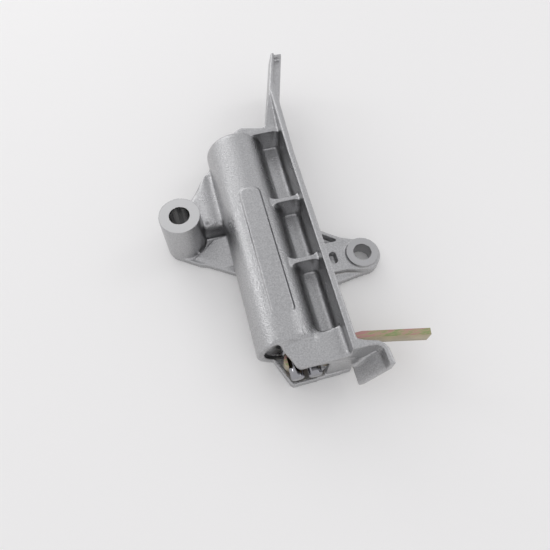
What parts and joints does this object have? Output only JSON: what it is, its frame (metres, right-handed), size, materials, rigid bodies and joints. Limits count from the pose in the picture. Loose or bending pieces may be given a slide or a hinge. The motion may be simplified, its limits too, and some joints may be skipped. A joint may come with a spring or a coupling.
{
  "type": "timing belt tensioner",
  "caption": "Cast aluminium tensioner housing with a spring plunger tube, a belt wall with pockets and a hooked end, two bolt points and a pivoting steel lever.",
  "frame": {"origin": "axis of the tall bolt pillar in the plane of its foot", "axes": "+Z along the bolt holes away from the engine, +Y along the plunger tube towards its closed end, +X towards the belt wall and the lever's tongue"},
  "size_m": [0.1022, 0.1754, 0.031],
  "materials": {
    "cast_aluminium": "blasted cast aluminium, bright where machined",
    "zinc_steel": "yellow passivated zinc on steel strip",
    "bronze": "sintered bronze",
    "steel": "turned steel",
    "polished_steel": "ground and polished steel",
    "spring_steel": "oiled spring steel",
    "rubber": "moulded nitrile rubber",
    "polymer": "filled sliding polymer"
  },
  "bodies": {
    "base": {"housing": "cast_aluminium", "pivot_pin": "steel", "washer_lower": "bronze", "washer_upper": "bronze", "rod_wiper": "rubber", "guide_bush": "bronze", "bumper_ring": "rubber", "main_spring": "spring_steel", "spring_seat": "steel", "guide_stem": "steel", "end_plug": "steel", "plug_seal": "rubber", "plug_clip": "spring_steel"},
    "lever": {"lever": "zinc_steel", "lever_bush": "bronze", "head_pin_outer": "polished_steel", "head_pin_inner": "polished_steel"},
    "plunger": {"plunger_rod": "polished_steel", "spring_cup": "steel", "guide_band": "polymer"}
  },
  "joints": [
    {"name": "plunger_slide", "type": "slide", "parent": "base", "child": "plunger", "axis": [0, 1, 0], "range_m": [0, 0.0032], "stiffness_N_per_m": 3000, "springref_m": -0.01, "deforming": ["main_spring"]},
    {"name": "lever_pivot", "type": "hinge", "parent": "base", "child": "lever", "pos_m": [0.0476, -0.0734, 0.013], "axis": [0, 0, -1], "range_deg": [0, 12]}
  ],
  "couplings": [
    {"joint": "lever_pivot", "follows": "plunger_slide", "rad_per_m": 64.9}
  ]
}
